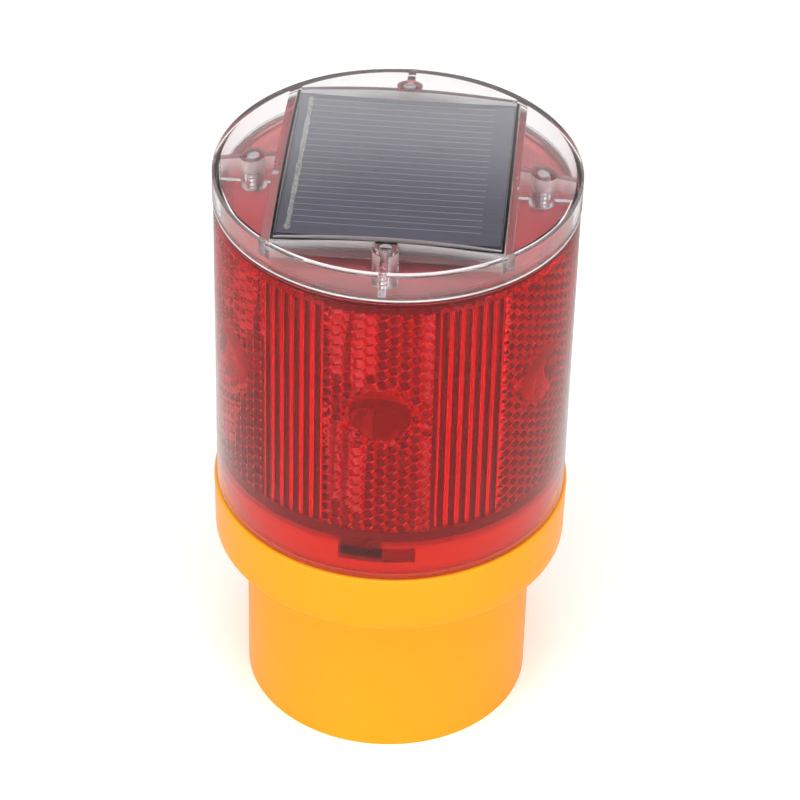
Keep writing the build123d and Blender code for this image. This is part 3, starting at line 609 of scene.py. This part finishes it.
def rounded_rim(piece, size, draft=0.3 * MM, steps=6, sharp=25):
    """Round the upper rim of a piece's widest wall, which leans in by less than the draft.

    The wall is cut at heights that follow the sine of an angle, up from one size below the rim,
    and each point then moves inwards by the size times one less the cosine of its angle.
    """
    mesh = piece.data
    made = bmesh.new()
    made.from_mesh(mesh)
    widest = max(vertex.co.xy.length for vertex in made.verts)
    rim = max(vertex.co.z for vertex in made.verts if vertex.co.xy.length > widest - SLACK)
    inmost = widest - draft
    for step in range(steps):
        height = rim - size + size * math.sin(step / steps * math.pi / 2)
        wall = [f for f in made.faces if min(v.co.xy.length for v in f.verts) > inmost]
        parts = {part for face in wall for part in (face, *face.edges, *face.verts)}
        bmesh.ops.bisect_plane(made, geom=list(parts), plane_co=(0, 0, height), plane_no=(0, 0, 1))
    made.to_mesh(mesh)
    made.free()
    points = np.empty(len(mesh.vertices) * 3)
    mesh.vertices.foreach_get("co", points)
    points = points.reshape(-1, 3)
    radius = np.hypot(points[:, 0], points[:, 1])
    sine = np.clip((points[:, 2] - rim) / size + 1, 0, 1)
    inwards = size * (1 - np.sqrt(1 - sine**2)) * (radius > inmost)
    points[:, :2] *= (1 - inwards / np.maximum(radius, MM))[:, None]
    mesh.vertices.foreach_set("co", points.ravel())
    mesh.set_sharp_from_angle(angle=math.radians(sharp))
    mesh.update()


def grid_faces(rows, columns, close_rows=False, close_columns=True):
    """Quads of a grid of points, row by row, that closes on itself where asked."""
    row = np.arange(rows if close_rows else rows - 1)[:, None]
    column = np.arange(columns if close_columns else columns - 1)[None, :]
    up, along = (row + 1) % rows, (column + 1) % columns
    corners = [row * columns + column, row * columns + along]
    corners += [up * columns + along, up * columns + column]
    return np.stack([np.broadcast_to(c, (row.size, column.size)) for c in corners], -1)


def tube_faces(rows, columns):
    """Outward faces of a tube of points, with both ends closed.

    The rows run against the axis that the columns turn round by the right-hand rule.
    """
    quads = grid_faces(rows, columns).reshape(-1, 4)[:, ::-1]
    last = np.arange((rows - 1) * columns, rows * columns)
    return quads.tolist() + [list(range(columns)), last[::-1].tolist()]


# --- red lens
def cube_corners(u, v):
    """Height from 0 to 1 of a field of cube corners.

    Points where u + v is even form a lattice of equal triangles. A three-colouring gives the
    corners of each triangle the heights 0, 1/2 and 1, and the surface between them is flat.
    """
    skew = (u - v) / 2
    i, j = np.floor(skew), np.floor(v)
    a, b = skew - i, v - j
    here, right, up = (np.mod(i - j + k, 3) for k in (0, 1, 2))
    lower = here + a * (right - here) + b * (up - here)
    upper = here + (1 - a) * (up - here) + (1 - b) * (right - here)
    return np.where(a + b <= 1, lower, upper) / 2


def lens_columns(sizes):
    """Columns round the lens: azimuth, window middle, place in the window, and rib height.

    A window's columns take even half steps of the cube lattice. A reed is a half circle as
    wide as its pitch, and its columns lie at equal angles round it.
    """
    wall = LENS_RADIUS - sizes.wall
    half = sizes.cube_columns // 2
    place = np.linspace(-half, half, 2 * sizes.cube_columns + 1)
    window = place * sizes.window_angle / sizes.cube_columns
    reed_steps = 9
    turn = np.linspace(0, np.pi, reed_steps + 1)[:-1]
    half_pitch = sizes.reed_pitch / 2
    spread = (np.arange(sizes.reeds) - (sizes.reeds - 1) / 2) * sizes.reed_pitch
    reed = (spread[:, None] - np.cos(turn) * half_pitch).ravel()
    reed = np.append(reed, spread[-1] + half_pitch)
    rise = np.tile(np.sin(turn) * half_pitch * wall, sizes.reeds)
    step = 2 * np.pi / sizes.windows
    one = np.concatenate([window, reed + step / 2])
    kind = np.concatenate([place, np.full(reed.size, np.nan)])
    ribs = np.concatenate([np.zeros(place.size), rise, [0]])
    middles = FRONT + np.arange(sizes.windows) * step
    azimuth = (middles[:, None] + one).ravel()
    middle = np.repeat(middles, one.size)
    return azimuth, middle, np.tile(kind, sizes.windows), np.tile(ribs, sizes.windows)


def pattern_rows(sizes, azimuth, middle, place, ribs):
    """The patterned band inside the wall: azimuth, radius and height at each grid point.

    In a window the radius falls from the web by the cube corners' height. Round the bullseye
    the lattice's hexagons are pressed into circles, and inside it the surface is a dome.
    """
    wall = LENS_RADIUS - sizes.wall
    top = LENS_HIGH.z - sizes.top_recess - sizes.top_thickness - sizes.pattern_margin
    low = LENS_LOW.z + sizes.pattern_low
    above = round(2 * (top - BULLSEYE_Z) / sizes.cube_row)
    below = math.floor(2 * (BULLSEYE_Z - low) / sizes.cube_row)
    v = np.arange(-below, above + 1)[:, None] / 2
    u = np.broadcast_to(place, (v.size, place.size))
    window = ~np.isnan(u)
    u = np.where(window, u, 0)
    side = sizes.window_angle / sizes.cube_columns * wall
    x, y = u * side, v * sizes.cube_row + 0 * u
    # The size of the lattice's hexagon through each point.
    ring = np.maximum(abs(v), (abs(u) + abs(v)) / 2)
    reach = np.hypot(x, y)
    # The round lens takes the place of the first rings, and cells beyond the last are unmoved.
    rings, settled = 4.0, 6.0
    disc = sizes.bullseye_radius
    circles = [0, disc, disc * 1.06, disc * 1.48]
    pressed = np.interp(ring, [0, rings, rings + 0.5, settled], circles)
    weight = np.clip((settled - ring) / 1.5, 0, 1)
    stretch = np.where(reach > 0, 1 + weight * (pressed / np.maximum(reach, 1e-9) - 1), 1)
    stretch = np.where(window, stretch, 1)
    x, y = x * stretch, y * stretch
    web = LENS_RADIUS - sizes.web
    cubes = web - sizes.cube_depth * cube_corners(u, v + 0 * u)
    ball = (disc**2 + sizes.bullseye_bulge**2) / (2 * sizes.bullseye_bulge)
    rise = np.sqrt(ball**2 - np.minimum(reach * stretch, disc) ** 2) - ball + sizes.bullseye_bulge
    dome = wall - sizes.bullseye_relief - rise
    inside = np.clip((rings + 0.5 - ring) / 0.5, 0, 1)
    radius = np.where(window, cubes + inside * (dome - cubes), wall - ribs)
    turn = np.where(window, middle + x / wall, azimuth)
    return turn, radius, BULLSEYE_Z + y, v.ravel(), (ring <= rings) & window


def circle_arc(centre_r, centre_z, radius, start, end, steps=3):
    """Points (r, z) at equal angles, in degrees, along an arc of a rim's small round."""
    turn = np.radians(np.linspace(start, end, steps))
    return [(centre_r + radius * math.cos(t), centre_z + radius * math.sin(t)) for t in turn]


def lens_mesh(sizes):
    """The whole lens as one grid, closed round the axis and along its profile.

    The profile runs down the inner wall, round the foot, up the outside, over the rim with its
    groove, in along the plate, through the middle hole and back out to the pattern.
    """
    azimuth, middle, place, ribs = lens_columns(sizes)
    turn, radius, height, v, dome = pattern_rows(sizes, azimuth, middle, place, ribs)
    wall, edge, outer = LENS_RADIUS - sizes.wall, sizes.edge, LENS_RADIUS
    foot, rim = LENS_LOW.z, LENS_HIGH.z - SLACK
    plate = rim - sizes.top_recess
    under = LENS_HIGH.z - sizes.top_recess - sizes.top_thickness
    lug_low = foot - 0.1 * MM + sizes.lug_low
    lug_high = lug_low + sizes.lug_height
    groove = sizes.groove_inner + sizes.groove_width
    step = 2 * np.pi / sizes.lug_count
    away = (azimuth - FRONT - sizes.lug_offset + step / 2) % step - step / 2
    lug = np.where(abs(away) <= sizes.lug_angle / 2, sizes.lug_depth, 0)
    plain = np.zeros(azimuth.size)
    down = [(wall, foot + sizes.pattern_low, plain), (wall, lug_high + SLACK, plain)]
    down += [(wall, lug_high, -lug), (wall, lug_low, -lug), (wall, lug_low - SLACK, plain)]
    down += [(wall, foot + sizes.rebate_height, plain)]
    down += [(sizes.rebate, foot + sizes.rebate_height, plain), (sizes.rebate, foot, plain)]
    round_foot = circle_arc(outer - edge, foot + edge, edge, -90, 0)
    round_rim = circle_arc(outer - edge, rim - edge, edge, 0, 90)
    over = [(groove, rim), (groove, rim - sizes.groove_depth)]
    over += [(sizes.groove_inner, rim - sizes.groove_depth), (sizes.groove_inner, rim)]
    over += [(wall, rim), (wall, plate)]
    over += [(sizes.lead_hole, plate), (sizes.lead_hole, under)]
    over += [(wall, under), (wall, height.max() + SLACK)]
    profile = down + [(r, z, plain) for r, z in round_foot + round_rim + over]
    first = len(profile)
    r = np.stack([r + shift for r, _, shift in profile])
    z = np.stack([z + plain for _, z, _ in profile])
    t = np.broadcast_to(azimuth, r.shape)
    r = np.concatenate([r, radius[::-1]])
    z = np.concatenate([z, height[::-1]])
    t = np.concatenate([t, turn[::-1]])
    points = np.stack([r * np.cos(t), r * np.sin(t), z], -1).reshape(-1, 3)
    quads = grid_faces(*r.shape, close_rows=True)
    flat, smooth = facets(quads[first:-1], v[::-1], place, dome[::-1])
    plain_quads = np.concatenate([quads[:first].reshape(-1, 4), quads[-1], smooth])
    faces = plain_quads.tolist() + flat.tolist()
    shading = np.arange(len(faces)) < len(plain_quads)
    return points, faces, shading


def facets(quads, v, place, dome):
    """Split the windows' quads into flat triangles along the cube lattice's slanting edges.

    A cell of the lattice is split from its low left corner where its two whole numbers add up
    to an even one, and from its low right corner otherwise. Other quads stay whole.
    """
    across = place + np.roll(place, -1)
    u_cell = np.floor(np.nan_to_num(across) / 2)[None, :]
    v_cell = np.floor((v[:-1] + v[1:]) / 2)[:, None]
    joined = dome[:-1] & dome[1:]
    joined = joined & np.roll(joined, -1, 1)
    window = ~np.isnan(across)[None, :] & ~joined
    forward = (u_cell + v_cell) % 2 == 0
    high_left, high_right, low_right, low_left = np.moveaxis(quads, -1, 0)
    split = [
        (window & forward, (high_left, high_right, low_left)),
        (window & forward, (high_right, low_right, low_left)),
        (window & ~forward, (high_left, high_right, low_right)),
        (window & ~forward, (high_left, low_right, low_left)),
    ]
    flat = [np.stack(three, -1)[chosen] for chosen, three in split]
    return np.concatenate(flat), quads[~window]


class LAMP_OT_lens(Operator):
    """Build the red lens with its reflector windows, flutes and lugs"""

    bl_idname = "lamp.lens"
    bl_label = "Red lens"

    def execute(self, context):
        scene = context.scene
        points, faces, shading = lens_mesh(scene.lamp_lens)
        material = clear_red(scene.lamp_colours, scene.lamp_lens)
        lens = new_piece("red_lens", points, faces, material, "head", shading)
        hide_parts("lens_shell")
        return {"FINISHED"}


# --- solar top
class LAMP_OT_cover(Operator):
    """Finish the clear cover and its seal"""

    bl_idname = "lamp.cover"
    bl_label = "Clear cover"

    def execute(self, context):
        material = water_clear(context.scene.lamp_colours, context.scene.lamp_top)
        merged_copy("clear_cover", "cover_moulding", material)
        seal = plastic("pale_silicone", (1.0, 0.93, 0.93), 0.3, 0.4, Transmission_Weight=0.9)
        merged_copy("cover_seal", "cover_ring", seal)
        return {"FINISHED"}


def ribbon_points(sizes):
    """The tinned ribbon: a flat section carried along Y.

    Half the width wanders by two products of sine waves, and solder stands on it in uneven
    lumps whose height is one more. A larger lump sits at each end.
    """
    low, high = RIBBON_LOW, RIBBON_HIGH
    sections, corners = 240, 16
    y = np.linspace(low.y, high.y, sections)[:, None]
    across = np.linspace(0, 2 * np.pi, corners, endpoint=False)[None, :]
    middle, half = (low.x + high.x) / 2, (high.x - low.x) / 2
    wander = 0.6 * np.sin(y / (1.9 * MM)) * np.sin(y / (4.7 * MM) + 1)
    wander = wander + 0.4 * np.sin(y / (0.4 * MM)) * np.sin(y / (1.3 * MM) + 2)
    from_end = np.minimum(y - low.y, high.y - y)
    blob_reach, squareness = 1.3 * MM, 0.4
    blob = np.sqrt(np.clip(1 - (from_end / blob_reach - 1) ** 2, 0, 1))
    tip = np.sqrt(np.clip(from_end / (1.0 * MM), 0.05, 1))
    width = (half - sizes.ribbon_wave * (0.5 + 0.5 * wander)) * tip + sizes.solder_width * blob
    lumps = np.clip(np.sin(y / (2.6 * MM) + 2) * np.cos(y / (1.1 * MM)), 0, 1)
    base = (high.z - low.z) * 0.35
    top = low.z + base + (high.z - low.z - base) * 0.9 * lumps + sizes.solder_height * blob
    x = middle + width * np.sign(np.cos(across)) * abs(np.cos(across)) ** squareness
    side = np.sign(np.sin(across)) * abs(np.sin(across)) ** squareness
    z = (top + low.z) / 2 + (top - low.z) / 2 * side
    return np.stack(np.broadcast_arrays(x, y, z), -1)


def screw_points(sizes, length):
    """One tapping screw, its head under z = 0 and its tip at z = length, as a grid of points.

    The thread's depth is a triangle wave of height less turn. The head's free face is a shallow
    dome less a cross whose arms fade out at their ends. Both ends close on a tiny ring.
    """
    columns, rows_in_turn, rings = 36, 10, 22
    turn = np.linspace(0, 2 * np.pi, columns, endpoint=False)[None, :]
    z = np.linspace(length, 0, round(length / sizes.screw_pitch * rows_in_turn))[:, None]
    wave = abs(2 * ((z / sizes.screw_pitch - turn / (2 * np.pi)) % 1) - 1)
    fade = np.clip((length - z) / (0.3 * MM), 0, 1) * np.clip(z / (0.6 * MM), 0, 1)
    shank = sizes.screw_radius - sizes.thread_depth * (1 - wave * fade)
    bend = np.linspace(0, np.pi / 2, 5)[:, None]
    corner = 0.5 * MM
    rim = sizes.head_radius - corner * (1 - np.cos(bend))
    rim_z = -sizes.head_height + corner * (1.6 - np.sin(bend))
    reach = np.linspace(rim[-1, 0], SLACK, rings)[1:, None]
    dome = rim_z[-1, 0] - 0.3 * MM * (1 - (reach / rim[-1, 0]) ** 2)
    across, along = abs(reach * np.cos(turn)), abs(reach * np.sin(turn))
    arm = np.clip((sizes.recess_width / 2 - np.minimum(across, along)) / (0.1 * MM), 0, 1)
    end = np.clip((sizes.recess_reach - reach) / (0.4 * MM), 0, 1)
    face_z = dome + sizes.recess_depth * arm * end
    radius = [np.full((1, columns), SLACK), shank, np.full((1, columns), sizes.head_radius)]
    radius += [rim + 0 * turn, reach + 0 * turn]
    height = [np.full((1, columns), length), z + 0 * turn, np.zeros((1, columns))]
    height += [rim_z + 0 * turn, face_z]
    r, h = np.concatenate(radius), np.concatenate(height)
    return np.stack([r * np.cos(turn), r * np.sin(turn), h], -1)


def screw_set(name, sizes, node, material):
    """Threaded screws in place of a CAD node's plain ones, on a square of four spots."""
    low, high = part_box(node)
    down = node == "frame_screws"
    length = high.z - low.z - sizes.head_height
    points = screw_points(sizes, length)
    rows, columns = points.shape[:2]
    tube = tube_faces(rows, columns)
    reach = high.x - sizes.head_radius
    seat = high.z - sizes.head_height if down else low.z + sizes.head_height
    spots = [(reach, reach), (-reach, reach), (-reach, -reach), (reach, -reach)]
    if not down:
        spots = [(reach, 0), (0, reach), (-reach, 0), (0, -reach)]
    every, faces = [], []
    for x, y in spots:
        start = len(every) * rows * columns
        placed = points.reshape(-1, 3) * ((1, -1, -1) if down else (1, 1, 1)) + (x, y, seat)
        every.append(placed)
        faces += [[start + corner for corner in face] for face in tube]
    piece = new_piece(name, np.concatenate(every), faces, material, "head")
    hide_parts(node)


class LAMP_OT_panel(Operator):
    """Finish the solar cell, its ribbon and its board"""

    bl_idname = "lamp.panel"
    bl_label = "Solar panel"

    def execute(self, context):
        scene = context.scene
        colours, sizes = scene.lamp_colours, scene.lamp_top
        finish_nodes(silicon(colours, sizes), "solar_cell")
        finish_nodes(plastic("black_board", (0.015, 0.017, 0.024), 0.35, 0.5), "cell_board")
        points = ribbon_points(sizes)
        faces = tube_faces(*points.shape[:2])
        tin = metal("tinned", colours.ribbon, 0.4, 0.7, 0.45)
        points = points.reshape(-1, 3)
        ribbon = new_piece("tinned_ribbon", points, faces, tin, "head")
        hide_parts("cell_ribbon")
        return {"FINISHED"}


def finish_nodes(material, *nodes):
    """Give CAD nodes a finish in place of their packed colours."""
    for node in nodes:
        mesh = frame["nodes"][node].data
        mesh.materials.clear()
        mesh.materials.append(material)


class LAMP_OT_base(Operator):
    """Finish the yellow base, its seal and the button"""

    bl_idname = "lamp.base"
    bl_label = "Base"

    def execute(self, context):
        colours = context.scene.lamp_colours
        base = merged_copy("base_housing", "yellow_base", moulded_yellow(colours))
        rounded_rim(base, context.scene.lamp_lens.flange_edge)
        silicone = plastic("amber_silicone", (0.9, 0.4, 0.03), 0.5, 0.4)
        finish_nodes(silicone, "base_seal")
        satin = plastic("satin_black", (0.03, 0.03, 0.03), 0.4, 0.3)
        merged_copy("power_button", "button_cap", satin)
        return {"FINISHED"}


class LAMP_OT_inside(Operator):
    """Finish the inner frame, the electronics, the battery and the leads"""

    bl_idname = "lamp.inside"
    bl_label = "Inner parts"

    def execute(self, context):
        colours = context.scene.lamp_colours
        finish_nodes(plastic("dark_frame", colours.dark, 0.45, 0.4), "inner_frame")
        finish_nodes(solder_mask(colours), "led_board")
        steel = metal("bright_zinc", (0.7, 0.7, 0.72), 0.25, 0.4)
        finish_nodes(steel, "board_washers")
        for node in ("cover_screws", "frame_screws"):
            screw_set(f"threaded_{node}", context.scene.lamp_top, node, steel)
        nickel = metal("nickel", (0.72, 0.7, 0.64), 0.3, 0.5)
        finish_nodes(nickel, "positive_contact", "negative_spring")
        red = plastic("red_epoxy", (0.6, 0.02, 0.02), 0.1, 1.0, 0.002, Transmission_Weight=0.6)
        finish_nodes(red, "leds")
        finish_nodes(plastic("green_sleeve", (0.03, 0.22, 0.1), 0.3, 1.2, 0.01), "battery_cell")
        for name, (tint, roughness, grain, *nodes) in INNER_PLASTICS.items():
            finish_nodes(plastic(name, tint, roughness, grain), *nodes)
        return {"FINISHED"}


# --- stage
def soft_light(name, energy, place, target):
    """A square soft light that faces a point."""
    light = bpy.data.lights.new(name, "AREA")
    light.energy = energy
    light.size = LIGHT_SIZE
    lamp = bpy.data.objects.new(name, light)
    bpy.context.scene.collection.objects.link(lamp)
    aim = (Vector(target) - Vector(place)).to_track_quat("-Z", "Y")
    lamp.matrix_world = Matrix.Translation(place) @ aim.to_matrix().to_4x4()


class LAMP_OT_stage(Operator):
    """Set up the pale floor, the white room, the soft lights and the camera"""

    bl_idname = "lamp.stage"
    bl_label = "Stage"

    def execute(self, context):
        scene = context.scene
        settings = scene.lamp_stage
        scene.view_settings.view_transform = "Standard"
        scene.cycles.max_bounces = LIGHT_BOUNCES
        scene.cycles.transmission_bounces = LIGHT_BOUNCES
        scene.cycles.transparent_max_bounces = CLEAR_BOUNCES
        self.build_world(scene, settings)
        self.build_floor(scene, settings)
        middle = (0, 0, COVER_HIGH.z / 2)
        for name, (watts, place) in LIGHTS.items():
            soft_light(name, watts, place, middle)
        self.build_camera(scene, settings)
        return {"FINISHED"}

    def build_world(self, scene, settings):
        """A room with a white backdrop that fades overhead, and plain white where it is seen."""
        world = bpy.data.worlds.new("white_room")
        world.use_nodes = True
        tree = world.node_tree
        lit = tree.nodes["Background"]
        place = tree.nodes.new("ShaderNodeTexCoord")
        parts = tree.nodes.new("ShaderNodeSeparateXYZ")
        fade = tree.nodes.new("ShaderNodeMapRange")
        heights = [math.sin(settings.low_angle), math.sin(settings.high_angle)]
        for socket, value in zip(fade.inputs[1:5], (*heights, settings.low, settings.high)):
            socket.default_value = value
        path = tree.nodes.new("ShaderNodeLightPath")
        seen = tree.nodes.new("ShaderNodeBackground")
        choose = tree.nodes.new("ShaderNodeMixShader")
        for background in (lit, seen):
            background.inputs["Color"].default_value = (1, 1, 1, 1)
        links = [
            (place.outputs["Generated"], parts.inputs[0]),
            (parts.outputs["Z"], fade.inputs[0]),
            (fade.outputs[0], lit.inputs["Strength"]),
            (path.outputs["Is Camera Ray"], choose.inputs[0]),
            (lit.outputs[0], choose.inputs[1]),
            (seen.outputs[0], choose.inputs[2]),
            (choose.outputs[0], tree.nodes["World Output"].inputs[0]),
        ]
        for start, end in links:
            tree.links.new(start, end)
        scene.world = world

    def build_floor(self, scene, settings):
        """A wide level floor just under the foot. It is whiter where it is seen than mirrored."""
        corners = ((-1, -1), (1, -1), (1, 1), (-1, 1))
        points = [(x * FLOOR_REACH, y * FLOOR_REACH, -SLACK) for x, y in corners]
        mesh = bpy.data.meshes.new("floor")
        mesh.from_pydata(points, [], [(0, 1, 2, 3)])
        finish = Finish("pale_floor", Roughness=0.6)
        path = finish.node("ShaderNodeLightPath")
        names = ("Is Camera Ray", "Is Transmission Ray", "Is Glossy Ray")
        camera, through, glossy = (Signal(finish, path.outputs[name]) for name in names)
        mirrored = glossy * (1 - through)
        finish.set(
            Base_Color=finish.mix(mirrored, settings.floor, settings.sheen),
            Emission_Color=finish.mix(camera.math("MAXIMUM", through), (0, 0, 0), settings.floor),
            Emission_Strength=FLOOR_GLOW,
        )
        mesh.materials.append(finish.material)
        floor = bpy.data.objects.new("floor", mesh)
        scene.collection.objects.link(floor)

    def build_camera(self, scene, settings):
        """A long lens that looks down at the front."""
        camera = bpy.data.cameras.new("camera")
        camera.lens = settings.lens
        camera.sensor_width = 36
        camera.clip_start = 0.01
        camera.clip_end = 100
        holder = bpy.data.objects.new("camera", camera)
        scene.collection.objects.link(holder)
        place = Matrix.Translation((0, -settings.reach, settings.height))
        yaw = Matrix.Rotation(-settings.yaw, 4, "Z")
        pitch = Matrix.Rotation(math.pi / 2 - settings.pitch, 4, "X")
        roll = Matrix.Rotation(settings.roll, 4, "Z")
        around = Matrix.Rotation(settings.around, 4, "Z")
        holder.matrix_world = around @ place @ (yaw @ pitch) @ roll
        scene.camera = holder


# --- panel and registration
PIECES = (LAMP_OT_base, LAMP_OT_lens, LAMP_OT_cover, LAMP_OT_panel, LAMP_OT_inside, LAMP_OT_stage)


class LAMP_PT_panel(Panel):
    """Lists the lamp's piece groups and their sizes"""

    bl_idname = "LAMP_PT_panel"
    bl_label = "Barricade Warning Light"
    bl_space_type = "VIEW_3D"
    bl_region_type = "UI"
    bl_category = "Lamp"

    def draw(self, context):
        for piece in PIECES:
            self.layout.operator(piece.bl_idname)
        scene = context.scene
        for group in (scene.lamp_lens, scene.lamp_top, scene.lamp_colours, scene.lamp_stage):
            box = self.layout.box()
            for name in group.__annotations__:
                box.prop(group, name)


GROUPS = {
    "lamp_lens": LensSizes,
    "lamp_top": TopSizes,
    "lamp_colours": FinishColours,
    "lamp_stage": StageSettings,
}


def register():
    for made in (*GROUPS.values(), *PIECES, LAMP_PT_panel):
        bpy.utils.register_class(made)
    for name, group in GROUPS.items():
        setattr(bpy.types.Scene, name, PointerProperty(type=group))


def unregister():
    for name in GROUPS:
        delattr(bpy.types.Scene, name)
    for made in reversed((*GROUPS.values(), *PIECES, LAMP_PT_panel)):
        bpy.utils.unregister_class(made)


def main():
    register()
    for piece in PIECES:
        group, name = piece.bl_idname.split(".")
        getattr(getattr(bpy.ops, group), name)()


if __name__ == "__main__":
    main()
